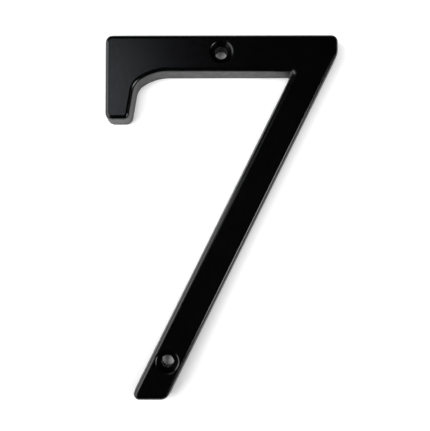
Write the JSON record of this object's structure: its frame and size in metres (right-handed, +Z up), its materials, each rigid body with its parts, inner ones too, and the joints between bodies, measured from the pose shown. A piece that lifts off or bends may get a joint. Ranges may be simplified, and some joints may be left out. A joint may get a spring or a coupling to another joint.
{
  "type": "house number",
  "caption": "House number seven, die-cast in zinc and painted black, with rounded front edges, a hollowed back and countersunk screw holes for fixing it flat to a wall.",
  "frame": {"origin": "on the wall plane that the back rests on, midway between the two screw holes", "axes": "+Z up the number as it is read, +X to the right as it is read, -Y out of its face, away from the wall"},
  "size_m": [0.0824, 0.0095, 0.1278],
  "materials": {
    "black_paint": "satin black paint on die-cast zinc"
  },
  "bodies": {
    "root": {"house_number": "black_paint"}
  },
  "joints": []
}
